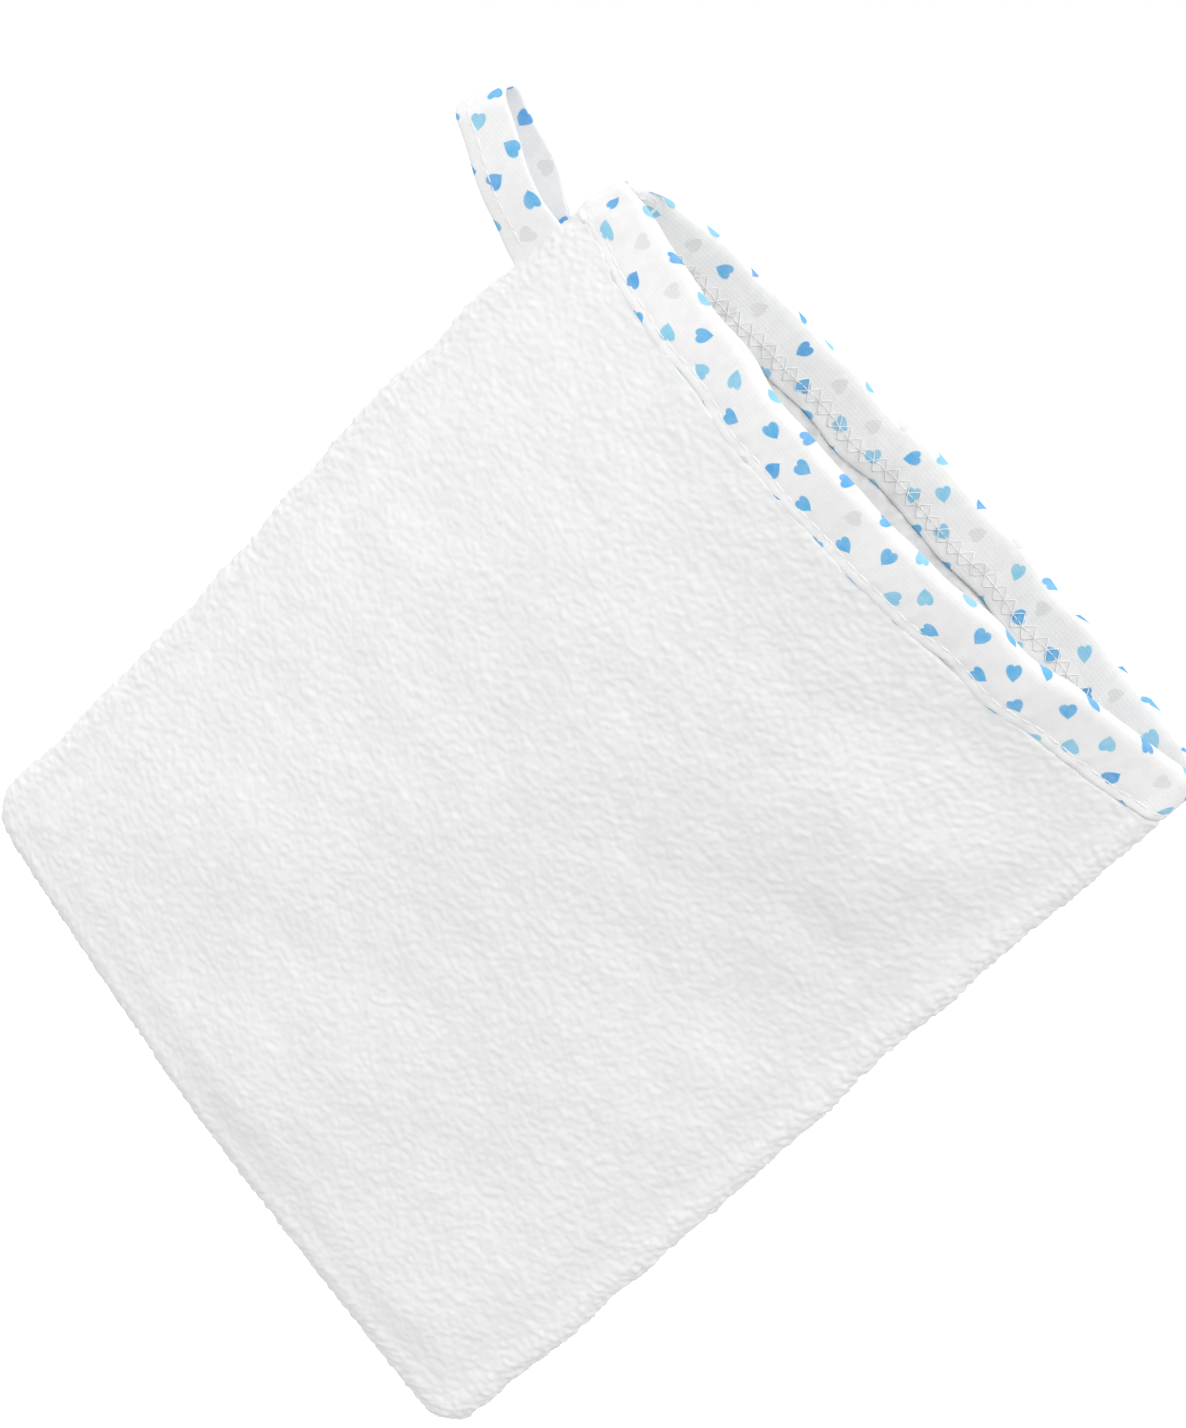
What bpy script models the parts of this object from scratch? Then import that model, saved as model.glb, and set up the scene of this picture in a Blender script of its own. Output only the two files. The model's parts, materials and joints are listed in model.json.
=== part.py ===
"""Terry wash mitt for a baby, hanging by its loop.

One folded piece of terry makes the pouch, a printed cotton binding wraps its mouth,
and a tape loop is sewn into the side seam. Metres, +Z up, seen along +Y.
The origin is the seat of the loop, where a hook carries it.
"""

import math

import bmesh
import bpy
from mathutils import Vector

# Size of the pouch, along its edges
MOUTH_WIDTH = 0.150
SEAM_SIDE_LENGTH = 0.180
FOLD_SIDE_LENGTH = 0.200
END_SHIFT = -0.005  # how far the closed end hangs over past the seam side
END_BOW = 0.0035
SEAM_CORNER_RADIUS = 0.008
FOLD_CORNER_RADIUS = 0.006

# How far the pouch gapes
FRONT_BULGE = 0.025
BACK_BULGE = 0.018
END_BULGE = 0.0035
BULGE_FALL = 1.3

# Cloth
WALL = 0.0032
EDGE_RADIUS = 0.0045  # half the thickness of the pouch along its edges
BINDING_THICKNESS = 0.0009
BINDING_WIDTH = 0.0105
SEAM_ALLOWANCE = 0.004
CLEARANCE = 0.0003

# Stitches
THREAD_RADIUS = 0.00022
TOPSTITCH_FROM_EDGE = 0.0013
ZIGZAG_WIDTH = 0.0035
ZIGZAG_PITCH = 0.004
OVERLOCK_WIDTH = 0.0022
OVERLOCK_PITCH = 0.0035

# Loop
TAPE_WIDTH = 0.010
TAPE_THICKNESS = 0.0008
LOOP_LENGTH = 0.0295  # from the seam to the seat
LOOP_GAPE = 0.0048  # half the gap between the legs at their widest
SEAT_FLAT = 0.003
LOOP_CENTRE = 0.019  # from the mouth, along the seam side
LOOP_STITCH_FROM_EDGE = 0.0028
LEG_SPREAD_SHARE = 0.6  # of a leg's length, over which it leaves the other leg

# How it hangs
HANG_ANGLE = math.radians(44.0)  # slope of the mouth's edge, down to the right
LOOP_LEAN = math.radians(21.5)

# Fineness of the lofts
SPAN_STEPS = 20
EDGE_STEPS = 3
DEPTH_STEPS = 10
END_APPROACH = (0.018, 0.012)  # last full rings, from the closed end
END_TURNS = [math.radians(angle) for angle in (0, 30, 55, 75)]
TAPE_STEPS = 8
BEND_STEPS = 4

ALONG_MOUTH = Vector((math.cos(HANG_ANGLE), 0, -math.sin(HANG_ANGLE)))
INTO_DEPTH = Vector((-math.sin(HANG_ANGLE), 0, -math.cos(HANG_ANGLE)))
LOOP_UP = Vector((-math.sin(LOOP_LEAN), 0, math.cos(LOOP_LEAN)))
LOOP_SIDE = Vector((math.cos(LOOP_LEAN), 0, math.sin(LOOP_LEAN)))
TO_BACK = Vector((0, 1, 0))
SEAM_RUN = (INTO_DEPTH + ALONG_MOUTH * (END_SHIFT / SEAM_SIDE_LENGTH)).normalized()
SEAM_POINT = -LOOP_UP * LOOP_LENGTH  # where the middle of the loop meets the seam
HINGE_POINT = SEAM_POINT + ALONG_MOUTH * (EDGE_RADIUS + CLEARANCE)
MOUTH_CORNER = SEAM_POINT + ALONG_MOUTH * CLEARANCE - SEAM_RUN * LOOP_CENTRE


def to_world(across, depth, thick):
    return MOUTH_CORNER + ALONG_MOUTH * across + INTO_DEPTH * depth + TO_BACK * thick


def side_length(share):
    """Depth of the pouch at a share of its width, counted from the seam side."""
    straight = SEAM_SIDE_LENGTH + (FOLD_SIDE_LENGTH - SEAM_SIDE_LENGTH) * share
    return straight + END_BOW * 4 * share * (1 - share)


def bulge(share, depth_share, to_back):
    mouth = BACK_BULGE if to_back else FRONT_BULGE
    height = END_BULGE + (mouth - END_BULGE) * (1 - depth_share) ** BULGE_FALL
    return height * 4 * share * (1 - share)


def corner_inset(from_end, radius):
    """How far a rounded corner draws the edge in, this far from the closed end."""
    drop = max(0.0, radius - from_end)
    return radius - math.sqrt(radius * radius - drop * drop)


def side_profile(inset, first, last):
    """Places across the pouch with their half thickness there, from one edge to the other."""
    radius = EDGE_RADIUS - inset
    turns = [math.pi / 2 * i / EDGE_STEPS for i in range(EDGE_STEPS)]
    profile = [(first - radius * math.cos(a), radius * math.sin(a)) for a in turns]
    for i in range(SPAN_STEPS + 1):
        profile.append((first + (last - first) * i / SPAN_STEPS, radius))
    profile += [(last + radius * math.cos(a), radius * math.sin(a)) for a in reversed(turns)]
    return profile


def ring(inset, share=0.0, beyond=0.0, flat=1.0, allowance=0.0):
    """Points once round the pouch: front from seam to fold, then back again behind.

    The ring lies at a share of the depth plus a distance beyond it. inset draws it in
    from the outer surface, and flat squeezes it for the closed end.
    """
    shift = END_SHIFT * share
    first = shift + EDGE_RADIUS + allowance
    last = shift + MOUTH_WIDTH - EDGE_RADIUS
    if share == 1.0:
        first += corner_inset(-beyond, SEAM_CORNER_RADIUS)
        last -= corner_inset(-beyond, FOLD_CORNER_RADIUS)
    along = min(max(share + beyond / FOLD_SIDE_LENGTH, 0.0), 1.0)
    front, back = [], []
    for across, thick in side_profile(inset, first, last):
        part = min(max((across - first) / (last - first), 0.0), 1.0)
        depth = share * side_length((across - shift) / MOUTH_WIDTH) + beyond
        for points, sign in ((front, -1), (back, 1)):
            swell = bulge(part, along, sign > 0)
            points.append(to_world(across, depth, sign * flat * (thick + swell)))
    return front + back[-2:0:-1]


def place(obj, body):
    parts.objects.link(obj)
    obj.parent = body


def add_mesh(name, shape, body):
    """The finished shape as an object of this body, with its faces pointing out."""
    bmesh.ops.recalc_face_normals(shape, faces=shape.faces)
    bmesh.ops.translate(shape, verts=shape.verts, vec=-body.location)
    mesh = bpy.data.meshes.new(name)
    shape.to_mesh(mesh)
    shape.free()
    mesh.shade_smooth()
    mesh.set_sharp_from_angle(angle=math.radians(50))
    obj = bpy.data.objects.new(name, mesh)
    place(obj, body)
    return obj


def zip_shut(shape, row):
    """Close a flat ring with a strip of faces between its two sides."""
    half = len(row) // 2
    for i in range(half):
        corners = [row[i], row[i + 1], row[-(i + 1) % len(row)], row[-i % len(row)]]
        shape.faces.new(list(dict.fromkeys(corners)))


def loft(name, rings, closed_round, body):
    """Skin the rings in order; the last joins the first, or both ends are zipped shut."""
    shape = bmesh.new()
    rows = [[shape.verts.new(point) for point in points] for points in rings]
    pairs = list(zip(rows, rows[1:]))
    if closed_round:
        pairs.append((rows[-1], rows[0]))
    for row, after in pairs:
        for i in range(len(row)):
            j = (i + 1) % len(row)
            shape.faces.new((row[i], row[j], after[j], after[i]))
    if not closed_round:
        zip_shut(shape, rows[0])
        zip_shut(shape, rows[-1])
    return add_mesh(name, shape, body)


def end_rings(inset, allowance=0.0):
    """Rings from the straight part of the pouch round its closed end."""
    radius = EDGE_RADIUS - inset
    reach = EDGE_RADIUS + allowance
    rings = []
    for distance in END_APPROACH:
        rings.append(ring(inset, 1.0, -distance, allowance=allowance))
    for turn in END_TURNS:
        beyond = radius * math.sin(turn) - reach
        rings.append(ring(inset, 1.0, beyond, math.cos(turn), allowance))
    return rings


def make_terry(body):
    rabbet = BINDING_THICKNESS + CLEARANCE
    rabbet_depth = BINDING_WIDTH + CLEARANCE
    full_depth = rabbet_depth + rabbet
    shares = [i / DEPTH_STEPS for i in range(1, DEPTH_STEPS)]
    outer = [ring(rabbet, 0.0, 0.0), ring(rabbet, 0.0, rabbet_depth)]
    outer.append(ring(0.0, 0.0, full_depth))
    outer += [ring(0.0, share) for share in shares]
    outer += end_rings(0.0)
    inner = [ring(WALL - rabbet, 0.0, 0.0), ring(WALL - rabbet, 0.0, rabbet_depth)]
    inner.append(ring(WALL, 0.0, full_depth))
    inner += [ring(WALL, share, allowance=SEAM_ALLOWANCE) for share in shares]
    inner += end_rings(WALL, SEAM_ALLOWANCE)
    obj = loft("terry_body", outer[::-1] + inner, False, body)
    set_material(obj, (0.86, 0.86, 0.85), 0.95)


def make_binding(body):
    top = -CLEARANCE - BINDING_THICKNESS
    leg = (0.0, BINDING_WIDTH / 2, BINDING_WIDTH)
    rings = [ring(0.0, 0.0, depth) for depth in leg[::-1]]
    rings.append(ring(WALL / 4, 0.0, top))
    rings.append(ring(WALL * 3 / 4, 0.0, top))
    rings += [ring(WALL, 0.0, depth) for depth in leg]
    rings += [ring(WALL - BINDING_THICKNESS, 0.0, depth) for depth in leg[::-1]]
    rings.append(ring(WALL - BINDING_THICKNESS, 0.0, -CLEARANCE))
    rings.append(ring(BINDING_THICKNESS, 0.0, -CLEARANCE))
    rings += [ring(BINDING_THICKNESS, 0.0, depth) for depth in leg]
    obj = loft("mouth_binding", rings, True, body)
    set_material(obj, (0.88, 0.89, 0.9), 0.8)


def make_thread(name, points, cyclic, body):
    """A thread lying along the points, as a thin tube."""
    curve = bpy.data.curves.new(name, "CURVE")
    curve.dimensions = "3D"
    curve.bevel_depth = THREAD_RADIUS
    curve.bevel_resolution = 1
    curve.use_fill_caps = not cyclic
    spline = curve.splines.new("POLY")
    spline.points.add(len(points) - 1)
    for target, point in zip(spline.points, points):
        target.co = (*(point - body.location), 1.0)
    spline.use_cyclic_u = cyclic
    obj = bpy.data.objects.new(name, curve)
    place(obj, body)
    set_material(obj, (0.9, 0.9, 0.9), 0.6)


def on_ring(points, place_round):
    """The point at a share of the way round a ring, by count of its points."""
    where = place_round * len(points)
    before = int(where) % len(points)
    return points[before].lerp(points[(before + 1) % len(points)], where - int(where))


def make_topstitch(body):
    depth = BINDING_WIDTH - TOPSTITCH_FROM_EDGE
    points = ring(-CLEARANCE - THREAD_RADIUS, 0.0, depth)
    make_thread("topstitch_thread", points, True, body)


def make_zigzag(body):
    """The stitch row across the inner leg of the binding."""
    inset = WALL + CLEARANCE + THREAD_RADIUS
    low = ring(inset, 0.0, BINDING_WIDTH - TOPSTITCH_FROM_EDGE)
    high = ring(inset, 0.0, BINDING_WIDTH - TOPSTITCH_FROM_EDGE - ZIGZAG_WIDTH)
    count = 2 * round(2 * MOUTH_WIDTH / ZIGZAG_PITCH)
    points = [on_ring((low, high)[i % 2], i / count) for i in range(count)]
    make_thread("zigzag_thread", points, True, body)


def overlock_offsets(length):
    """Alternating distances from the seam, with the places along it where they fall."""
    count = 2 * round(length / OVERLOCK_PITCH)
    near = WALL + SEAM_ALLOWANCE + CLEARANCE + THREAD_RADIUS
    for i in range(count + 1):
        yield near + OVERLOCK_WIDTH * (i % 2), i / count


def make_side_seam(body):
    start = BINDING_WIDTH + WALL
    end = SEAM_SIDE_LENGTH - EDGE_RADIUS - SEAM_ALLOWANCE - SEAM_CORNER_RADIUS
    points = []
    for away, share in overlock_offsets(end - start):
        depth = start + (end - start) * share
        points.append(to_world(away + END_SHIFT * depth / SEAM_SIDE_LENGTH, depth, 0.0))
    make_thread("side_seam_thread", points, False, body)


def make_end_seam(body):
    start = EDGE_RADIUS + SEAM_ALLOWANCE + SEAM_CORNER_RADIUS
    end = MOUTH_WIDTH - EDGE_RADIUS - FOLD_CORNER_RADIUS
    points = []
    for away, share in overlock_offsets(end - start):
        across = start + (end - start) * share
        depth = side_length(across / MOUTH_WIDTH) - away
        points.append(to_world(across + END_SHIFT, depth, 0.0))
    make_thread("end_seam_thread", points, False, body)


def tape_path(outward=0.0):
    """The tape seen from its edge, front leg to back leg: thickness place and height."""
    bend = LOOP_GAPE - SEAT_FLAT / 2 + TAPE_THICKNESS / 2
    bend_centre = TAPE_THICKNESS / 2 - bend
    wide = LOOP_GAPE + TAPE_THICKNESS / 2
    narrow = TAPE_THICKNESS / 2 + CLEARANCE / 2
    half = []
    for i in range(TAPE_STEPS + 1):
        share = i / TAPE_STEPS
        spread = math.sin(math.pi / 2 * min(1.0, share / LEG_SPREAD_SHARE)) ** 2
        height = -LOOP_LENGTH + (LOOP_LENGTH + bend_centre) * share
        half.append((narrow + (wide - narrow) * spread + outward, height))
    for i in range(1, BEND_STEPS + 1):
        turn = math.pi / 2 * i / BEND_STEPS
        thick = SEAT_FLAT / 2 + (bend + outward) * math.cos(turn)
        half.append((thick, bend_centre + (bend + outward) * math.sin(turn)))
    return [(-thick, height) for thick, height in half] + half[::-1]


def tape_point(side, thick, height):
    return LOOP_SIDE * side + LOOP_UP * height + TO_BACK * thick


def make_loop(body):
    """The folded tape: two legs bowed apart, with a flat seat inside the top of the bend."""
    slant = SEAM_RUN.dot(LOOP_UP) / SEAM_RUN.dot(LOOP_SIDE)
    shape = bmesh.new()
    rows = []
    path = tape_path()
    for i, (thick, height) in enumerate(path):
        at_base = i in (0, len(path) - 1)
        row = []
        for side in (-TAPE_WIDTH / 2, TAPE_WIDTH / 2):
            cut = side * slant if at_base else 0.0
            row.append(shape.verts.new(tape_point(side, thick, height + cut)))
        rows.append(row)
    for row, after in zip(rows, rows[1:]):
        shape.faces.new((row[0], row[1], after[1], after[0]))
    obj = add_mesh("hanging_loop", shape, body)
    solidify = obj.modifiers.new("tape thickness", "SOLIDIFY")
    solidify.thickness = TAPE_THICKNESS
    solidify.offset = 0.0
    solidify.use_even_offset = True
    set_material(obj, (0.88, 0.89, 0.9), 0.8)


def make_loop_stitch(body):
    side = -TAPE_WIDTH / 2 + LOOP_STITCH_FROM_EDGE
    path = tape_path(TAPE_THICKNESS / 2 + CLEARANCE + THREAD_RADIUS)
    points = [tape_point(side, thick, height) for thick, height in path[2:-2]]
    make_thread("loop_stitch_thread", points, False, body)


def set_material(obj, colour, roughness):
    material = bpy.data.materials.new(obj.name)
    material.use_nodes = True
    shader = material.node_tree.nodes["Principled BSDF"]
    shader.inputs["Base Color"].default_value = (*colour, 1.0)
    shader.inputs["Roughness"].default_value = roughness
    obj.data.materials.append(material)


def add_body(name, location):
    body = bpy.data.objects.new(name, None)
    body.location = location
    parts.objects.link(body)
    return body


for old in list(bpy.data.objects):
    bpy.data.objects.remove(old, do_unlink=True)
parts = bpy.data.collections.new("wash_mitt")
bpy.context.scene.collection.children.link(parts)

loop_body = add_body("loop_seat", Vector((0, 0, 0)))
mitt_body = add_body("seam_hinge", HINGE_POINT)
make_loop(loop_body)
make_loop_stitch(loop_body)
make_terry(mitt_body)
make_binding(mitt_body)
make_topstitch(mitt_body)
make_zigzag(mitt_body)
make_side_seam(mitt_body)
make_end_seam(mitt_body)
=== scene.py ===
import json
import math

import bmesh
import bpy
import numpy as np
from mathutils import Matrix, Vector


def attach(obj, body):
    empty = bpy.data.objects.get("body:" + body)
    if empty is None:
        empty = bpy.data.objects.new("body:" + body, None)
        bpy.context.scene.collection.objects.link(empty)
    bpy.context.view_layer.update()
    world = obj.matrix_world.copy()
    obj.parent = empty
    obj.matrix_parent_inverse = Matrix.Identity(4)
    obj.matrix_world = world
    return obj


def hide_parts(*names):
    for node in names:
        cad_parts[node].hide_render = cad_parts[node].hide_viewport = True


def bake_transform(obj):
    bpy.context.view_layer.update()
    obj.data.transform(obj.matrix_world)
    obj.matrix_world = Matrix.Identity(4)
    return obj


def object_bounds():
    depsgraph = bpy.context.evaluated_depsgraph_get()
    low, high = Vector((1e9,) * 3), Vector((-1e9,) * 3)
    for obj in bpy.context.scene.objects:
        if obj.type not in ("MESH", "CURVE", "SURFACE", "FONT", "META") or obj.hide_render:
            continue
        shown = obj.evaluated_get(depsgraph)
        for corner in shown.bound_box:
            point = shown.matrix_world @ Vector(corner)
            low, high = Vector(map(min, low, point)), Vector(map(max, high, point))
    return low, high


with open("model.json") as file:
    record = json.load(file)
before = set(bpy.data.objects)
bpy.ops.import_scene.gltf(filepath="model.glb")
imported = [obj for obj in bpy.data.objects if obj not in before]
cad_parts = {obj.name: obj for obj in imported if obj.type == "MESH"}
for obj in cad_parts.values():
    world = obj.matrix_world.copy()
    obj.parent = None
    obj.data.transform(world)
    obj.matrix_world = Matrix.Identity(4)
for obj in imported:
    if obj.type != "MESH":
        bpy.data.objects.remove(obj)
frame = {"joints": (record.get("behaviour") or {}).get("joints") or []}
cad_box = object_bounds()

# ---------------------------------------------------------------------------
# Sizes, in metres, and the mitt's own directions
# ---------------------------------------------------------------------------
MM = 0.001
MOUTH_WIDTH = 150 * MM
SEAM_SIDE_LENGTH = 180 * MM
FOLD_SIDE_LENGTH = 200 * MM
END_SHIFT = -5 * MM
END_BOW = 1.8 * MM  # how far the closed end bulges between its corners
SEAM_BOW = 2.6 * MM  # how far the seam's edge swings out below the loop
SEAM_DRAW = 1.8 * MM  # how far it is drawn in near the closed end
FOLD_BOW = 2.0 * MM  # how far the folded edge swings out near the closed end
SEAM_CORNER = 8 * MM
FOLD_CORNER = 6 * MM
FRONT_BULGE = 25 * MM
BACK_BULGE = 18 * MM
END_BULGE = 3.5 * MM
BULGE_FALL = 1.3  # how quickly the swell falls from the mouth to the closed end
BLUNT_MOUTH, BLUNT_BODY = 0.6, 1.2  # how square the back's arch is at the mouth and below it
EDGE_ROLL = 9 * MM  # how far from an edge the faces start to roll over
EDGE_THINNING = 0.22  # and the share of their thickness that they lose there
DENT, SMALL_DENT = 0.5 * MM, 0.12 * MM
BACK_DENTS_AWAY = 310 * MM  # the back takes its dents from another part of the noise
BILLOW = 2.6 * MM  # the puffed place below the mouth, on the front
BILLOW_ACROSS, BILLOW_DEPTH = 119 * MM, 43 * MM
BILLOW_HALF_WIDTH, BILLOW_HALF_DEPTH = 26 * MM, 22 * MM
EDGE_WANDER = 0.22 * MM
BACK_SKEW = 0.8  # the back stands open more towards the seam
EDGE_RADIUS = 4.5 * MM
WALL = 3.2 * MM
INNER_INSET = WALL - 1.0 * MM  # down to the foot of the pile inside
BINDING_WIDTH = 10.5 * MM
LOOP_CENTRE = 19 * MM
HANG_ANGLE = math.radians(44)
LOOP_LEAN = math.radians(21.5)
LOOP_LENGTH = 29.5 * MM
LOOP_GAPE = 4.8 * MM
TAPE_WIDTH = 10 * MM
TAPE_THICKNESS = 0.8 * MM

PILE_DEPTH = 0.30 * MM  # from the mean outside of the mitt down to the foot of its pile

hinge = frame["joints"][0]
hinge_point = np.array(hinge["pos_m"])
seam_run = np.array(hinge["axis"])
seam_run = seam_run / np.linalg.norm(seam_run)
along_mouth = np.array([math.cos(HANG_ANGLE), 0, -math.sin(HANG_ANGLE)])
into_depth = np.array([-math.sin(HANG_ANGLE), 0, -math.cos(HANG_ANGLE)])
to_back = np.array([0.0, 1.0, 0.0])
mouth_corner = hinge_point - along_mouth * EDGE_RADIUS - seam_run * LOOP_CENTRE
loop_up = np.array([-math.sin(LOOP_LEAN), 0, math.cos(LOOP_LEAN)])
loop_side = np.array([math.cos(LOOP_LEAN), 0, math.sin(LOOP_LEAN)])


# ---------------------------------------------------------------------------
# Camera, light and floor
# ---------------------------------------------------------------------------
CAMERA_AZIMUTH, CAMERA_ELEVATION = math.radians(17), math.radians(14.6)
CAMERA_DISTANCE = 0.8
CAMERA_TARGET = np.array([0.0202, 0, -0.1131])
SENSOR_WIDTH, FOCAL_LENGTH = 36, 131.6  # mm
LIGHT_TARGET = (0.01, 0, -0.13)
FILL_BELOW, FILL_ABOVE = 0.56, 1.04  # how bright the surroundings are straight down and straight up
FLOOR_BELOW = 0.12  # the floor's distance under the object
FLOOR_SIZE = 8


def add_camera():
    azimuth, elevation = CAMERA_AZIMUTH, CAMERA_ELEVATION
    data = bpy.data.cameras.new("camera")
    data.sensor_fit = "HORIZONTAL"
    data.sensor_width = SENSOR_WIDTH
    data.lens = FOCAL_LENGTH
    camera = bpy.data.objects.new("camera", data)
    bpy.context.scene.collection.objects.link(camera)
    out = np.array([
        math.sin(azimuth) * math.cos(elevation),
        -math.cos(azimuth) * math.cos(elevation),
        math.sin(elevation),
    ])
    camera.location = CAMERA_TARGET + out * CAMERA_DISTANCE
    camera.rotation_euler = (math.pi / 2 - elevation, 0, azimuth)
    bpy.context.scene.camera = camera


def add_light(name, location, size, power):
    data = bpy.data.lights.new(name, "AREA")
    data.shape = "SQUARE"
    data.size = size
    data.energy = power
    light = bpy.data.objects.new(name, data)
    light.location = location
    aim = bpy.data.objects.new(name + "_aim", None)
    aim.location = LIGHT_TARGET
    for obj in (light, aim):
        bpy.context.scene.collection.objects.link(obj)
    track = light.constraints.new("TRACK_TO")
    track.target = aim
    track.track_axis = "TRACK_NEGATIVE_Z"
    track.up_axis = "UP_Y"


def add_world():
    """White to the camera, and for the light on the object brighter above than below."""
    world = bpy.data.worlds.new("studio")
    world.use_nodes = True
    nodes, links = world.node_tree.nodes, world.node_tree.links
    nodes.clear()
    fill = nodes.new("ShaderNodeBackground")
    fill.inputs["Color"].default_value = (1, 1, 1, 1)
    where = nodes.new("ShaderNodeTexCoord")
    split = nodes.new("ShaderNodeSeparateXYZ")
    links.new(where.outputs["Generated"], split.inputs[0])
    height = nodes.new("ShaderNodeMapRange")
    links.new(split.outputs[2], height.inputs["Value"])
    height.inputs["From Min"].default_value = -1.0
    height.inputs["From Max"].default_value = 1.0
    height.inputs["To Min"].default_value = FILL_BELOW
    height.inputs["To Max"].default_value = FILL_ABOVE
    links.new(height.outputs[0], fill.inputs["Strength"])
    seen = nodes.new("ShaderNodeBackground")
    seen.inputs["Color"].default_value = (1, 1, 1, 1)
    path = nodes.new("ShaderNodeLightPath")
    mix = nodes.new("ShaderNodeMixShader")
    out = nodes.new("ShaderNodeOutputWorld")
    links.new(path.outputs["Is Camera Ray"], mix.inputs[0])
    links.new(fill.outputs[0], mix.inputs[1])
    links.new(seen.outputs[0], mix.inputs[2])
    links.new(mix.outputs[0], out.inputs[0])
    bpy.context.scene.world = world
    bpy.context.scene.view_settings.view_transform = "Standard"


def add_floor():
    bpy.ops.mesh.primitive_plane_add(size=FLOOR_SIZE, location=(0, 0, cad_box[0][2] - FLOOR_BELOW))
    floor = bpy.context.object
    floor.name = "floor"
    material = bpy.data.materials.new("floor")
    material.use_nodes = True
    shader = material.node_tree.nodes["Principled BSDF"]
    shader.inputs["Base Color"].default_value = (0.85, 0.85, 0.85, 1)
    shader.inputs["Roughness"].default_value = 0.9
    shader.inputs["Emission Color"].default_value = (1, 1, 1, 1)
    shader.inputs["Emission Strength"].default_value = 0.6
    floor.data.materials.append(material)
    floor.visible_diffuse = False


# ---------------------------------------------------------------------------
# Smooth noise, the same each run
# ---------------------------------------------------------------------------
def waves(seed, count, shortest, longest):
    """Random plane waves in metres; their sum is a smooth bumpy field of about unit height."""
    rng = np.random.default_rng(seed)
    size = np.exp(rng.uniform(math.log(shortest), math.log(longest), count))
    turn = rng.uniform(0, 2 * math.pi, count)
    start = rng.uniform(0, 2 * math.pi, count)
    return np.cos(turn) / size * 2 * math.pi, np.sin(turn) / size * 2 * math.pi, start


def field(kit, x, y):
    total = np.zeros(np.broadcast(x, y).shape)
    for kx, ky, start in zip(*kit):
        total = total + np.sin(kx * x + ky * y + start)
    return total * math.sqrt(2 / len(kit[0]))


broad_dents = waves(3, 9, 45 * MM, 110 * MM)
small_dents = waves(5, 14, 14 * MM, 34 * MM)
edge_noise = waves(8, 12, 12 * MM, 40 * MM)


# ---------------------------------------------------------------------------
# The pouch: a surface from its place round the mitt and its depth
# ---------------------------------------------------------------------------
def smooth(x):
    x = np.clip(x, 0, 1)
    return x * x * (3 - 2 * x)


def side_length(share):
    straight = SEAM_SIDE_LENGTH + (FOLD_SIDE_LENGTH - SEAM_SIDE_LENGTH) * share
    return straight + END_BOW * 4 * share * (1 - share)


def corner_inset(from_end, radius):
    drop = np.clip(radius - from_end, 0, radius)
    return radius - np.sqrt(radius * radius - drop * drop)


def sag(across, depth, back):
    """How far the cloth stands off its even curve: soft dents, and a billow by the mouth."""
    offset = np.where(back, BACK_DENTS_AWAY, 0.0)
    dents = DENT * field(broad_dents, across + offset, depth)
    dents = dents + SMALL_DENT * field(small_dents, across + offset, depth)
    reach = np.hypot((across - BILLOW_ACROSS) / BILLOW_HALF_WIDTH,
                     (depth - BILLOW_DEPTH) / BILLOW_HALF_DEPTH)
    billow = np.where(back, 0.0, BILLOW) * smooth(1.2 - reach)
    return dents * smooth(depth / (30 * MM)) + billow


def swelling(part, along, back):
    """How far the two faces stand apart: most at the mouth and least at the closed end."""
    mouth = np.where(back, BACK_BULGE, FRONT_BULGE)
    seam_open = part ** BACK_SKEW
    blunt = BLUNT_MOUTH + (BLUNT_BODY - BLUNT_MOUTH) * smooth(4 * along)
    back_arch = (4 * seam_open * (1 - seam_open)) ** blunt
    arch = np.where(back, back_arch, (4 * part * (1 - part)) ** BLUNT_BODY)
    return (END_BULGE + (mouth - END_BULGE) * (1 - along) ** BULGE_FALL) * arch


def edge_lines(across, depth, part, along, from_end):
    """How far the seam's and the fold's edges stray from straight."""
    wander = EDGE_WANDER * field(edge_noise, across * 0.4, depth) * smooth(depth / (25 * MM))
    bow = np.sin(math.pi * np.clip(1.75 * along, 0, 1))
    seam_line = SEAM_DRAW * smooth(2 * along - 0.8) - SEAM_BOW * bow
    fold_line = FOLD_BOW * smooth(2 * along - 0.5) * smooth(from_end / (15 * MM))
    return END_SHIFT * along + wander + seam_line * (1 - part) + fold_line * part


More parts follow.
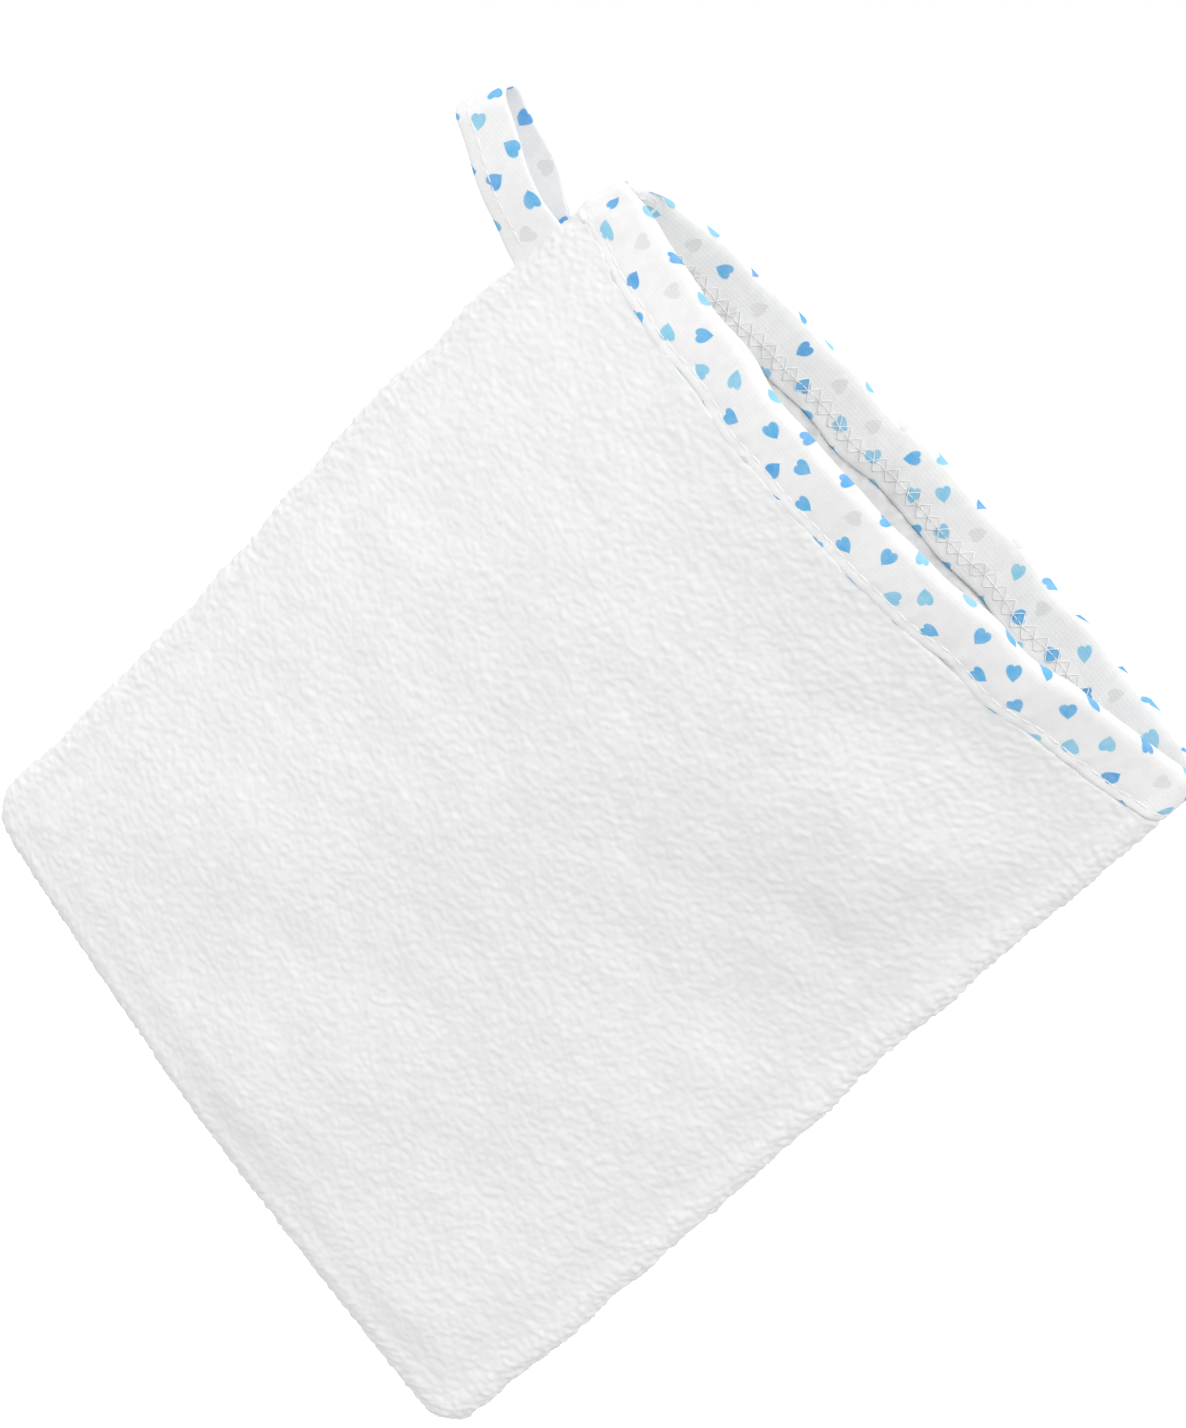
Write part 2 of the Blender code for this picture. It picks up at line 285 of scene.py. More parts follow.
def pouch(around, depth_share, inset=0.0, beyond=0.0):
    """World points. around runs 0 to 0.5 over the front, seam to fold, then back behind."""
    around = np.asarray(around, float) % 1.0
    depth_share = np.asarray(depth_share, float)
    back = around > 0.5
    half = np.where(back, 2 - 2 * around, 2 * around)
    radius = EDGE_RADIUS - inset
    quarter = radius * math.pi / 2
    flat_span = MOUTH_WIDTH - 2 * EDGE_RADIUS
    arc = half * (flat_span + 2 * quarter)
    from_seam = np.clip(arc / quarter, 0, 1) * math.pi / 2
    from_fold = np.clip((flat_span + 2 * quarter - arc) / quarter, 0, 1) * math.pi / 2
    across = EDGE_RADIUS + np.clip(arc - quarter, 0, flat_span)
    across = across - radius * np.cos(from_seam) + radius * np.cos(from_fold)
    thick = radius * np.minimum(np.sin(from_seam), np.sin(from_fold))
    part = np.clip((across - EDGE_RADIUS) / flat_span, 0, 1)

    length = side_length(across / MOUTH_WIDTH)
    end_arc = radius * math.pi / 2
    run = depth_share * (length - EDGE_RADIUS + end_arc) + beyond
    turn = np.clip((run - (length - EDGE_RADIUS)) / radius, 0, math.pi / 2)
    depth = np.minimum(run, length - EDGE_RADIUS) + radius * np.sin(turn)
    flat = np.cos(turn)

    from_end = length - depth
    seam_in = corner_inset(from_end, SEAM_CORNER)
    fold_in = corner_inset(from_end, FOLD_CORNER)
    across = across + seam_in * (1 - part) - fold_in * part
    along = np.clip(depth / length, 0, 1)
    to_side = np.minimum(part, 1 - part)
    thick = thick + swelling(part, along, back) + sag(across, depth, back) * smooth(to_side * 8)
    thick = thick * flat
    to_edge = np.minimum(to_side * flat_span, np.maximum(from_end - EDGE_RADIUS, 0))
    roll = (1 - smooth(to_edge / EDGE_ROLL)) * smooth((depth - 12 * MM) / (25 * MM))
    thick = thick * (1 - EDGE_THINNING * roll)
    thick = np.where(back, thick, -thick)
    across = across + edge_lines(across, depth, part, along, from_end)
    return (
        mouth_corner
        + across[..., None] * along_mouth
        + depth[..., None] * into_depth
        + thick[..., None] * to_back
    )


def grid_normals(points):
    """Outward normals of a grid of points, rows in depth and columns round the mitt."""
    round_step = np.roll(points, -1, axis=1) - np.roll(points, 1, axis=1)
    depth_step = np.gradient(points, axis=0)
    normal = np.cross(depth_step, round_step)
    return normal / np.maximum(np.linalg.norm(normal, axis=-1, keepdims=True), 1e-12)


# ---------------------------------------------------------------------------
# Meshes and materials
# ---------------------------------------------------------------------------
def mesh_object(name, points, faces, material, uv=None):
    """A smooth mesh from arrays; faces all have the same number of corners."""
    mesh = bpy.data.meshes.new(name)
    corners = faces.shape[1]
    mesh.vertices.add(len(points))
    mesh.vertices.foreach_set("co", np.asarray(points, np.float32).ravel())
    mesh.loops.add(faces.size)
    mesh.loops.foreach_set("vertex_index", faces.astype(np.int32).ravel())
    mesh.polygons.add(len(faces))
    mesh.polygons.foreach_set("loop_start", np.arange(0, faces.size, corners, dtype=np.int32))
    if uv is not None:
        layer = mesh.uv_layers.new(name="OFBake")
        if len(uv) != faces.size:
            uv = uv[faces.ravel()]
        layer.uv.foreach_set("vector", uv.astype(np.float32).ravel())
    mesh.update(calc_edges=True)
    mesh.shade_smooth()
    obj = bpy.data.objects.new(name, mesh)
    bpy.context.scene.collection.objects.link(obj)
    mesh.materials.append(material)
    return obj


def grid_faces(rows, columns, wrap):
    row = np.arange(rows - 1)[:, None]
    column = np.arange(columns if wrap else columns - 1)[None, :]
    after = (column + 1) % columns
    faces = np.stack(np.broadcast_arrays(
        row * columns + column,
        (row + 1) * columns + column,
        (row + 1) * columns + after,
        row * columns + after,
    ), axis=-1)
    return faces.reshape(-1, 4)


def new_material(name, colour, roughness):
    material = bpy.data.materials.new(name)
    material.use_nodes = True
    tree = material.node_tree
    shader = tree.nodes["Principled BSDF"]
    shader.inputs["Base Color"].default_value = (*colour, 1)
    shader.inputs["Roughness"].default_value = roughness
    return material, tree, shader


def noise_colour(tree, shader, scale, dark, light):
    """A base colour that wanders between two greys, a pace of about 1 / scale metres."""
    texture = tree.nodes.new("ShaderNodeTexNoise")
    texture.inputs["Scale"].default_value = scale
    texture.inputs["Detail"].default_value = 2
    where = tree.nodes.new("ShaderNodeTexCoord")
    tree.links.new(where.outputs["Object"], texture.inputs["Vector"])
    ramp = tree.nodes.new("ShaderNodeValToRGB")
    ramp.color_ramp.elements[0].position = 0.35
    ramp.color_ramp.elements[0].color = (dark, dark, dark, 1)
    ramp.color_ramp.elements[1].position = 0.65
    ramp.color_ramp.elements[1].color = (light, light, light, 1)
    tree.links.new(texture.outputs[0], ramp.inputs[0])
    tree.links.new(ramp.outputs[0], shader.inputs["Base Color"])


def terry_material():
    material, tree, shader = new_material("terry", (0.9, 0.9, 0.89), 1.0)
    noise_colour(tree, shader, 260, 0.90, 0.93)
    shader.inputs["Specular IOR Level"].default_value = 0.1
    return material


def thread_material():
    material, tree, shader = new_material("thread", (0.9, 0.9, 0.9), 0.55)
    noise_colour(tree, shader, 900, 0.90, 0.96)
    return material


terry = terry_material()
thread = thread_material()


# ---------------------------------------------------------------------------
# Terry: one closed skin with a relief of short loops
# ---------------------------------------------------------------------------
def from_seam(around):
    """Distance along the mouth from the seam."""
    around = around % 1.0
    return np.minimum(around, 1 - around) * 2 * MOUTH_WIDTH


def binding_narrowing(around):
    """The share of the binding's width that shows: less at the mouth's two corners."""
    run = from_seam(around)
    return 1 - 0.2 * smooth(1 - run / (18 * MM)) - 0.15 * smooth(1 - (MOUTH_WIDTH - run) / (16 * MM))


GROUND_COLUMNS = 900
OUTER_ROWS = 560
INNER_ROWS = 240
AROUND = 2 * MOUTH_WIDTH + 8 * MM  # the mitt's girth along its skin
DEPTH = (SEAM_SIDE_LENGTH + FOLD_SIDE_LENGTH) / 2 + 6 * MM
UNDER_BINDING = 0.9 * MM  # how far the ground lies below the foot of the pile inside the binding
EDGE_PILE = 8 * MM  # how near an edge the pile starts to stand higher
EDGE_PILE_GAIN = 1.3  # and the share that it gains there
LOOP_JITTER = 0.33  # how far loops lie from their even places, in shares of their spacing
LOOP_UNEVEN = 0.18
CLUMP_UNEVEN = 0.04
SWELL = 0.03 * MM


def ground_grid(inset, rows):
    around = np.arange(GROUND_COLUMNS) / GROUND_COLUMNS
    share = np.linspace(0, 1, rows)
    return pouch(around[None, :] + 0 * share[:, None], share[:, None] + 0 * around[None, :], inset)


def pile_relief(rows, spacing, length, width, tall, seed):
    """Height of the pile over its foot, on a grid of the mitt's skin: short loops that lie anyhow."""
    rng = np.random.default_rng(seed)
    along_row, down_rows = round(AROUND / spacing), round(DEPTH / spacing)
    count = along_row * down_rows
    column, row = np.meshgrid(np.arange(along_row), np.arange(down_rows))
    column = column + (row % 2) / 2 + rng.normal(0, LOOP_JITTER, row.shape)
    row = row + rng.normal(0, LOOP_JITTER, row.shape)
    column = column.ravel() % along_row * GROUND_COLUMNS / along_row
    row = row.ravel() * rows / down_rows
    across_cell, depth_cell = AROUND / GROUND_COLUMNS, DEPTH / rows
    clump = field(waves(seed + 1, 24, 1.6 * MM, 6 * MM), column * across_cell, row * depth_cell)
    turn = 2.2 * field(waves(seed + 2, 8, 6 * MM, 20 * MM), column * across_cell, row * depth_cell)
    turn = turn + rng.normal(0, 1.2, count)
    cosine, sine = np.cos(turn), np.sin(turn)
    half_length = length / 2 * rng.uniform(0.3, 1.3, count)
    half_width = width / 2 * rng.uniform(0.75, 1.25, count)
    top = tall * np.clip(rng.normal(0.7, LOOP_UNEVEN, count) + CLUMP_UNEVEN * clump, 0.1, 1.5)
    relief = np.zeros((rows, GROUND_COLUMNS))
    reach = int((length / 2 * 1.3 + width / 2 * 1.25) / min(across_cell, depth_cell)) + 1
    for down in range(-reach, reach + 1):
        at_row = np.floor(row).astype(int) + down
        for aside in range(-reach, reach + 1):
            at_column = np.floor(column).astype(int) + aside
            x, y = (at_column - column) * across_cell, (at_row - row) * depth_cell
            past_end = np.maximum(np.abs(x * cosine + y * sine) - half_length, 0)
            off = np.hypot(past_end, y * cosine - x * sine) / half_width
            near = (off < 1) & (at_row >= 0) & (at_row < rows)
            bump = top[near] * (1 - off[near] ** 2) ** 0.75
            np.maximum.at(relief, (at_row[near], at_column[near] % GROUND_COLUMNS), bump)
    x, y = np.meshgrid(np.arange(GROUND_COLUMNS) * across_cell, np.arange(rows) * depth_cell)
    relief = relief + SWELL * field(waves(seed + 3, 24, 2.2 * MM, 7 * MM), x, y)
    relief = (np.roll(relief, 1, axis=1) + 2 * relief + np.roll(relief, -1, axis=1)) / 4
    relief[1:-1] = (relief[:-2] + 2 * relief[1:-1] + relief[2:]) / 4
    from_edge = np.minimum(np.minimum(x, AROUND - x), np.abs(x - AROUND / 2))
    from_edge = np.minimum(from_edge, DEPTH - y)
    relief = relief * (1 + EDGE_PILE_GAIN * smooth(1 - from_edge / EDGE_PILE))
    edge = BINDING_WIDTH * binding_narrowing(x / AROUND)
    bound = smooth((y - edge) / (0.5 * MM) + 0.9)
    relief = relief * bound - UNDER_BINDING * (1 - bound)
    relief[-1] = 0
    return relief


def add_ground():
    """One closed skin: up the outside to the mouth, over it and down the inside."""
    outer = ground_grid(PILE_DEPTH, OUTER_ROWS)
    relief = pile_relief(OUTER_ROWS, spacing=1.0 * MM, length=0.55 * MM, width=0.95 * MM,
                         tall=0.38 * MM, seed=41)
    outer = outer + grid_normals(outer) * relief[..., None]
    inner = ground_grid(INNER_INSET, INNER_ROWS)
    relief = pile_relief(INNER_ROWS, spacing=1.6 * MM, length=1.2 * MM, width=1.6 * MM,
                         tall=0.6 * MM, seed=51)
    inner = inner - grid_normals(inner) * relief[..., None]
    points = np.concatenate([outer[::-1], inner]).reshape(-1, 3)
    rows = OUTER_ROWS + INNER_ROWS
    faces = grid_faces(rows, GROUND_COLUMNS, True)
    u, v = np.meshgrid(np.arange(GROUND_COLUMNS + 1) / GROUND_COLUMNS, np.linspace(0, 1, rows))
    corner_faces = grid_faces(rows, GROUND_COLUMNS + 1, False)
    corner_uv = np.stack([u, v], -1).reshape(-1, 2)[corner_faces.ravel()]
    # at the far end the front's edge meets the back's, point for point
    column = np.arange(GROUND_COLUMNS)
    mirrored = np.where(column > GROUND_COLUMNS // 2, GROUND_COLUMNS - column, column)
    index = np.arange(rows * GROUND_COLUMNS).reshape(rows, GROUND_COLUMNS)
    index[0], index[-1] = index[0, mirrored], index[-1, mirrored]
    used, faces = np.unique(index.ravel()[faces], return_inverse=True)
    return mesh_object("terry_ground", points[used], faces.reshape(-1, 4), terry, corner_uv)


# ---------------------------------------------------------------------------
# Printed cotton: small hearts scattered on white
# ---------------------------------------------------------------------------
PRINT_ALONG = 9.7 * MM  # from heart to heart along a row
PRINT_ROW = 4.3 * MM  # from row to row
HEART_WIDTH = 2.85 * MM
HEART_COLOURS = (  # where each starts on a scale of chance
    (0.0, (0.12, 0.48, 0.84)),
    (0.40, (0.10, 0.41, 0.81)),
    (0.58, (0.28, 0.64, 0.85)),
    (0.84, (0.80, 0.80, 0.80)),
)


def math_node(tree, operation, first, second=None, third=None):
    node = tree.nodes.new("ShaderNodeMath")
    node.operation = operation
    for socket, value in zip(node.inputs, (first, second, third)):
        if value is None:
            continue
        if isinstance(value, (int, float)):
            socket.default_value = value
        else:
            tree.links.new(value, socket)
    return node.outputs[0]


def heart_mask(tree, cell_x, cell_y, chance):
    """1 inside this cell's heart, turned and shifted at random, 0 outside."""
    red, green, blue = chance
    turn = math_node(tree, "MULTIPLY", red, 2 * math.pi)
    cosine, sine = math_node(tree, "COSINE", turn), math_node(tree, "SINE", turn)
    x = math_node(tree, "SUBTRACT", cell_x, math_node(tree, "MULTIPLY_ADD", green, 0.30, 0.35))
    y = math_node(tree, "SUBTRACT", cell_y, math_node(tree, "MULTIPLY_ADD", blue, 0.12, 0.44))
    x = math_node(tree, "MULTIPLY", x, 2 * PRINT_ALONG / HEART_WIDTH)
    y = math_node(tree, "MULTIPLY", y, 2 * PRINT_ROW / HEART_WIDTH)
    across = math_node(tree, "MULTIPLY_ADD", x, cosine, math_node(tree, "MULTIPLY", y, sine))
    upward = math_node(tree, "SUBTRACT", math_node(tree, "MULTIPLY", y, cosine),
                       math_node(tree, "MULTIPLY", x, sine))
    aside = math_node(tree, "ABSOLUTE", across)
    lobe = math_node(tree, "SQRT", math_node(tree, "ADD", aside, 0.04))
    upward = math_node(tree, "ADD", upward, 0.25)
    upward = math_node(tree, "SUBTRACT", upward, math_node(tree, "MULTIPLY", lobe, 0.72))
    squares = math_node(tree, "ADD", math_node(tree, "POWER", across, 2),
                        math_node(tree, "POWER", upward, 2))
    from_middle = math_node(tree, "SQRT", squares)
    edge = tree.nodes.new("ShaderNodeMapRange")
    edge.interpolation_type = "SMOOTHSTEP"
    tree.links.new(from_middle, edge.inputs["Value"])
    edge.inputs["From Min"].default_value = 0.84
    edge.inputs["From Max"].default_value = 1.04
    edge.inputs["To Min"].default_value = 1.0
    edge.inputs["To Max"].default_value = 0.0
    return edge.outputs[0]


def printed_material(name, length, width, seed):
    """White cotton with its print laid out on a strip of this length and width."""
    material, tree, shader = new_material(name, (0.9, 0.91, 0.92), 0.85)
    nodes, links = tree.nodes, tree.links
    uv = nodes.new("ShaderNodeUVMap")
    uv.uv_map = "OFBake"
    split = nodes.new("ShaderNodeSeparateXYZ")
    links.new(uv.outputs[0], split.inputs[0])
    row = math_node(tree, "MULTIPLY_ADD", split.outputs[1], width / PRINT_ROW, seed + 0.5)
    row_number = math_node(tree, "FLOOR", row)
    shift = math_node(tree, "MULTIPLY", row_number, 0.5)
    column = math_node(tree, "MULTIPLY_ADD", split.outputs[0], length / PRINT_ALONG, shift)
    column_number = math_node(tree, "FLOOR", column)
    number = nodes.new("ShaderNodeCombineXYZ")
    links.new(column_number, number.inputs[0])
    links.new(row_number, number.inputs[1])
    chance = nodes.new("ShaderNodeTexWhiteNoise")
    chance.noise_dimensions = "2D"
    links.new(number.outputs[0], chance.inputs["Vector"])
    parts = nodes.new("ShaderNodeSeparateColor")
    links.new(chance.outputs["Color"], parts.inputs[0])
    inside = heart_mask(
        tree,
        math_node(tree, "FRACT", column),
        math_node(tree, "FRACT", row),
        parts.outputs,
    )
    ramp = nodes.new("ShaderNodeValToRGB")
    ramp.color_ramp.interpolation = "CONSTANT"
    for element, (place, colour) in zip(ramp.color_ramp.elements, HEART_COLOURS[:2]):
        element.position, element.color = place, (*colour, 1)
    for place, colour in HEART_COLOURS[2:]:
        ramp.color_ramp.elements.new(place).color = (*colour, 1)
    links.new(chance.outputs["Value"], ramp.inputs[0])
    cloth = nodes.new("ShaderNodeTexNoise")
    cloth.inputs["Scale"].default_value = 500
    where = nodes.new("ShaderNodeTexCoord")
    links.new(where.outputs["Object"], cloth.inputs["Vector"])
    shade = nodes.new("ShaderNodeValToRGB")
    shade.color_ramp.elements[0].position = 0.3
    shade.color_ramp.elements[0].color = (0.90, 0.90, 0.90, 1)
    shade.color_ramp.elements[1].position = 0.7
    shade.color_ramp.elements[1].color = (0.94, 0.94, 0.94, 1)
    links.new(cloth.outputs[0], shade.inputs[0])
    mix = nodes.new("ShaderNodeMix")
    mix.data_type = "RGBA"
    uneven = math_node(tree, "MULTIPLY_ADD", cloth.outputs[0], 0.45, 0.70)
    links.new(math_node(tree, "MULTIPLY", inside, uneven), mix.inputs["Factor"])
    links.new(shade.outputs[0], mix.inputs["A"])
    links.new(ramp.outputs[0], mix.inputs["B"])
    links.new(mix.outputs["Result"], shader.inputs["Base Color"])
    shader.inputs["Specular IOR Level"].default_value = 0.25
    shader.inputs["Sheen Weight"].default_value = 0.08
    add_weave(tree, shader, where)
    return material


def add_weave(tree, shader, where):
    """Fine plain weave as a bump: two sets of ridges along the mitt's own directions."""
    turn = tree.nodes.new("ShaderNodeMapping")
    turn.inputs["Rotation"].default_value = (0, HANG_ANGLE, 0)
    tree.links.new(where.outputs["Object"], turn.inputs["Vector"])
    ridges = []
    for direction in ("X", "Z"):
        wave = tree.nodes.new("ShaderNodeTexWave")
        wave.bands_direction = direction
        wave.inputs["Scale"].default_value = 420
        wave.inputs["Distortion"].default_value = 0.6
        tree.links.new(turn.outputs[0], wave.inputs["Vector"])
        ridges.append(wave.outputs["Fac"])
    bump = tree.nodes.new("ShaderNodeBump")
    bump.inputs["Strength"].default_value = 0.25
    bump.inputs["Distance"].default_value = 0.1 * MM
    tree.links.new(math_node(tree, "MULTIPLY", *ridges), bump.inputs["Height"])
    tree.links.new(bump.outputs[0], shader.inputs["Normal"])


def strip_object(name, points, material, close_ends=False):
    """A closed skin over a grid: rows round the strip's section, columns along it.

    The first and last rows meet, and so do the columns of a ring, so both are given twice
    for the print's map and welded afterwards.
    """
    rows, columns = points.shape[:2]
    faces = grid_faces(rows, columns, False)
    u, v = np.meshgrid(np.linspace(0, 1, columns), np.linspace(0, 1, rows))
    uv = np.stack([u, v], -1).reshape(-1, 2)
    obj = mesh_object(name, points.reshape(-1, 3), faces, material, uv)
    shape = bmesh.new()
    shape.from_mesh(obj.data)
    bmesh.ops.remove_doubles(shape, verts=shape.verts, dist=1e-6)
    if close_ends:
        bmesh.ops.holes_fill(shape, edges=[edge for edge in shape.edges if edge.is_boundary])
    bmesh.ops.recalc_face_normals(shape, faces=shape.faces)
    shape.to_mesh(obj.data)
    shape.free()
    obj.data.shade_smooth()
    return obj


def along_section(corners, step):
    """Points every step or so along a closed section, rounded between its corners."""
    corners = np.array(corners)
    count = len(corners)
    dense = []
    for i in range(count):
        a, b, c, d = (corners[(i + k - 1) % count] for k in range(4))
        pieces = max(2, int(np.linalg.norm(c - b) / step))
        for t in np.arange(pieces) / pieces:
            curve = 2 * b + (c - a) * t + (2 * a - 5 * b + 4 * c - d) * t**2
            dense.append((curve + (3 * b - a - 3 * c + d) * t**3) / 2)
    return np.array(dense + dense[:1])


# ---------------------------------------------------------------------------
# Binding
# ---------------------------------------------------------------------------
STITCH_LINE = BINDING_WIDTH - 2.0 * MM  # the outer row's distance from the mouth
INNER_LINE = BINDING_WIDTH - 3.6 * MM  # the middle of the inner row
STITCH_LENGTH = 3.0 * MM
BINDING_COLUMNS = 720
BINDING_SECTION = [  # depth and inset in mm, from the outer edge over the fold to the inner edge
    (10.5, 0.55), (10.3, 0.10), (9.4, 0.02), (8.5, 0.16), (7.4, -0.02), (5.0, -0.10), (2.4, -0.10),
    (0.2, -0.02), (-1.2, 0.50), (-1.75, 1.60), (-1.2, 2.70), (0.2, 3.22), (2.4, 3.30), (5.5, 3.30),
    (9.4, 3.22), (10.3, 3.10), (10.5, 2.70), (10.2, 2.45), (5.0, 2.50), (0.6, 2.40), (-0.5, 1.60),
    (0.6, 0.80), (5.0, 0.72), (10.2, 0.78),
]
pucker = waves(31, 16, 2.6 * MM, 7 * MM)
ripple = waves(33, 8, 12 * MM, 30 * MM)
pinched = waves(36, 8, 4 * MM, 8 * MM)


def binding_inset(around, depth, inset):
    """The section's inset with the small puckers that the stitches pull into the cotton."""
    run = around * 2 * MOUTH_WIDTH
    near_row = np.exp(-(((depth - STITCH_LINE) / (2.2 * MM)) ** 2))
    push = 0.13 * MM * field(pucker, run, depth * 0.3) * (0.25 + 0.75 * near_row)
    push = push + 0.16 * MM * field(ripple, run, depth)
    pinch = np.exp(-((from_seam(around) / (9 * MM)) ** 2))
    push = push + 0.35 * MM * field(pinched, run, depth * 0.4) * pinch
    outside = 1 - 2 * smooth(inset / WALL)
    return inset + push * outside


def mouth_point(around, depth, inset):
    """A point of the binding's surface, for arrays of the same shape."""
    around, depth, inset = np.broadcast_arrays(around, depth, inset)
    inset = binding_inset(around, depth, inset)
    depth = np.where(depth > 0, depth * binding_narrowing(around), depth)
    base = pouch(around, 0 * depth, 0.0, depth)
    deep = pouch(around, 0 * depth, WALL, depth)
    share = (inset / WALL)[..., None]
    edge_wave = 0.35 * MM * field(ripple, around * 2 * MOUTH_WIDTH + 1, 0 * depth)
    return base * (1 - share) + deep * share + edge_wave[..., None] * into_depth


def add_binding():
    section = along_section(BINDING_SECTION, 0.45) * MM
    around = np.linspace(0, 1, BINDING_COLUMNS + 1)
    points = mouth_point(around[None, :], section[:, :1], section[:, 1:])
    points[:, -1] = points[:, 0]
    size = np.linalg.norm(np.diff(section, axis=0), axis=1).sum()
    cotton = printed_material("printed_binding", 2 * MOUTH_WIDTH, size, 0)
    return strip_object("binding", points, cotton)


# ---------------------------------------------------------------------------
# Threads
# ---------------------------------------------------------------------------
def tubes(name, paths, radius, material, sides=6):
    """Round threads, one along each path; paths is an array of threads by points by xyz."""
    ahead = np.gradient(paths, axis=1)
    ahead /= np.linalg.norm(ahead, axis=-1, keepdims=True)
    side = np.cross(ahead, to_back + 0.013)
    side /= np.linalg.norm(side, axis=-1, keepdims=True)
    flank = np.cross(side, ahead)
    taper = np.ones(paths.shape[1])
    taper[[0, -1]] = 0.35
    rings = []
    for angle in np.arange(sides) * 2 * math.pi / sides:
        offset = side * math.cos(angle) + flank * math.sin(angle)
        rings.append(paths + offset * radius * taper[None, :, None])
    points = np.stack(rings, axis=2)
    count, length = paths.shape[:2]
    body = grid_faces(length, sides, True)
    shape_faces = (body[None] + np.arange(count)[:, None, None] * length * sides).reshape(-1, 4)
    obj = mesh_object(name, points.reshape(-1, 3), shape_faces, material)
    shape = bmesh.new()
    shape.from_mesh(obj.data)
    bmesh.ops.holes_fill(shape, edges=[edge for edge in shape.edges if edge.is_boundary])
    bmesh.ops.recalc_face_normals(shape, faces=shape.faces)
    shape.to_mesh(obj.data)
    shape.free()
    return obj


def add_topstitch():
    count = round(2 * MOUTH_WIDTH / STITCH_LENGTH)
    step = np.linspace(0.06, 0.94, 7)
    around = (np.arange(count)[:, None] + step[None, :]) / count
    rise = 0.20 * MM * np.sin(math.pi * (step - 0.06) / 0.88) ** 0.5
    inset = 0.28 * MM - rise
    paths = mouth_point(around, STITCH_LINE, inset[None, :])
    return tubes("binding_topstitch", paths, 0.13 * MM, thread)


def add_cover_stitch():
    """Crossing looper threads on the inside of the binding, and the line that they cross."""
    count = round(2 * MOUTH_WIDTH / STITCH_LENGTH)
    step = np.linspace(0, 1, 9)
    start = np.arange(count)[:, None]
    swing = 1.9 * MM
    threads = []
    for turn in (1, -1):
        around = (start + step) / count
        depth = INNER_LINE + turn * swing * (1 - 2 * step)
        rise = 0.10 * MM * np.sin(math.pi * step) + 0.05 * MM * turn
        threads.append(mouth_point(around, depth[None, :], 3.34 * MM + rise[None, :]))
    around = (start + 0.04 + 0.92 * step) / count
    rise = 0.12 * MM * np.sin(math.pi * step)
    threads.append(mouth_point(around, INNER_LINE, 3.32 * MM + rise[None, :]))
    return tubes("binding_cover_stitch", np.concatenate(threads), 0.10 * MM, thread)


# ---------------------------------------------------------------------------
# Hanging loop
# ---------------------------------------------------------------------------
TAPE_STEPS = 150
TOP_SHARE = 0.24  # the share of the tape, from its middle, that bends over the top
TOP_HEIGHT = 0.4 * MM
TOP_BEND = 3.7 * MM
TOP_HALF_GAP = LOOP_GAPE + 0.2 * MM
ROOT_HALF_GAP = 0.6 * MM
LOOP_STITCHES = 22
LOOP_STITCH = -2.3 * MM  # the edge stitch's place across the tape


def tape_path(count):
    """The tape seen from its edge: thickness place, height, and sideways splay."""
    run = np.linspace(-1, 1, count)
    leg = LOOP_LENGTH + 3 * MM
    far = np.abs(run)
    turn = np.clip((TOP_SHARE - far) / TOP_SHARE, 0, 1) * math.pi / 2
    down = np.clip((far - TOP_SHARE) / (1 - TOP_SHARE), 0, 1)
    spread = np.sin(math.pi / 2 * np.clip((1 - down) / 0.7, 0, 1)) ** 1.5
    thick = ROOT_HALF_GAP + (TOP_HALF_GAP - ROOT_HALF_GAP) * spread
    thick = np.where(far < TOP_SHARE, TOP_HALF_GAP * np.cos(turn) ** 0.8, thick)
    height = TOP_HEIGHT - TOP_BEND + TOP_BEND * np.sin(turn) - down * (leg + TOP_HEIGHT - TOP_BEND)
    splay = np.where(run > 0, 1.8 * MM, -0.8 * MM) * np.sin(math.pi * down) ** 2
    return np.sign(run) * thick, height, splay


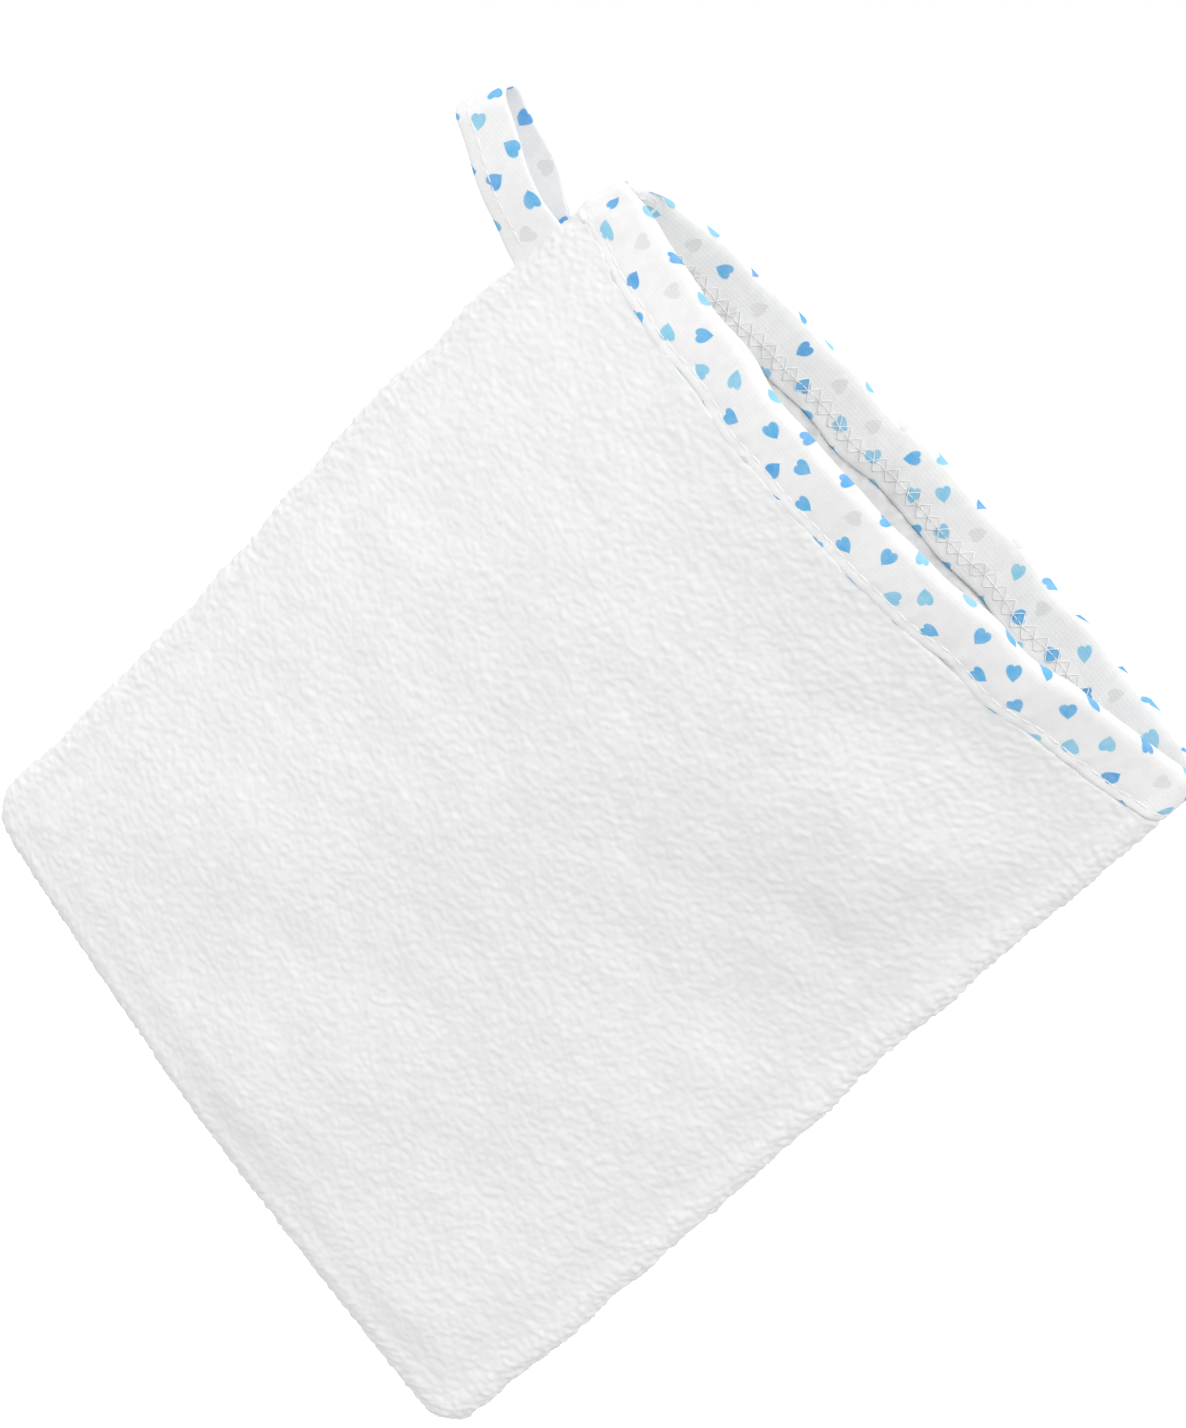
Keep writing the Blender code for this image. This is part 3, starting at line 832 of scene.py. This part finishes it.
def tape_point(place, across, lift):
    """Points of the tape: place from -1 to 1 along it, across its width, lift off its middle."""
    thick, height, splay = (np.interp(place, np.linspace(-1, 1, 801), row) for row in tape_path(801))
    ahead = np.stack([np.gradient(row, axis=-1) for row in (thick, height)], -1)
    ahead /= np.linalg.norm(ahead, axis=-1, keepdims=True)
    out_thick, out_height = -ahead[..., 1], ahead[..., 0]
    cup = 0.25 * MM * (across / (TAPE_WIDTH / 2)) ** 2
    lift = lift - cup
    flare = 1 + 0.16 * smooth((-height - LOOP_LENGTH + 9 * MM) / (8 * MM))
    side = across * flare + splay
    return (
        side[..., None] * loop_side
        + (height + lift * out_height)[..., None] * loop_up
        + (thick + lift * out_thick)[..., None] * to_back
    )


def add_tape():
    half, thin = TAPE_WIDTH / 2, TAPE_THICKNESS / 2
    edge = half - 0.25 * MM
    corners = [
        (-half, 0), (-edge, thin), (-half / 2, thin * 1.1), (0, thin), (half / 2, thin * 1.1),
        (edge, thin), (half, 0), (edge, -thin), (half / 2, -thin), (-half / 2, -thin), (-edge, -thin),
    ]
    section = along_section(corners, 0.5 * MM)
    place = np.linspace(-1, 1, TAPE_STEPS)
    grid = [tape_point(place, np.full(TAPE_STEPS, across), np.full(TAPE_STEPS, lift))
            for across, lift in section]
    size = np.linalg.norm(np.diff(section, axis=0), axis=1).sum()
    cotton = printed_material("printed_tape", 2 * LOOP_LENGTH + 8 * MM, size, 5)
    return strip_object("loop_tape", np.array(grid), cotton, close_ends=True)


def add_tape_stitch():
    step = np.linspace(0.08, 0.92, 7)
    across = np.full(7, LOOP_STITCH)
    rise = 0.14 * MM * np.sin(math.pi * (step - 0.08) / 0.84)
    paths = []
    for row in -0.86 + 1.72 * (np.arange(LOOP_STITCHES)[:, None] + step) / LOOP_STITCHES:
        paths.append(tape_point(row, across, TAPE_THICKNESS / 2 + rise))
        paths.append(tape_point(row, across, -TAPE_THICKNESS / 2 - rise))
    return tubes("loop_edge_stitch", np.array(paths), 0.12 * MM, thread)


add_camera()
add_world()
add_floor()
add_light("key", location=(-0.75, -0.75, 0.95), size=0.7, power=1.4)
add_light("side", location=(0.95, -0.6, 0.5), size=1.3, power=5.8)
ground = add_ground()
binding = add_binding()
topstitch = add_topstitch()
cover_stitch = add_cover_stitch()
tape = add_tape()
tape_stitch = add_tape_stitch()

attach(ground, "mitt")
for piece in (topstitch, cover_stitch):
    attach(piece, "mitt")
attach(binding, "mitt")
for piece in (tape, tape_stitch):
    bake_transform(piece)

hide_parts("terry_body", "side_seam_thread", "end_seam_thread")
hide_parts("mouth_binding")
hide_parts("topstitch_thread")
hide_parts("zigzag_thread")
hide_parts("hanging_loop")
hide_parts("loop_stitch_thread")
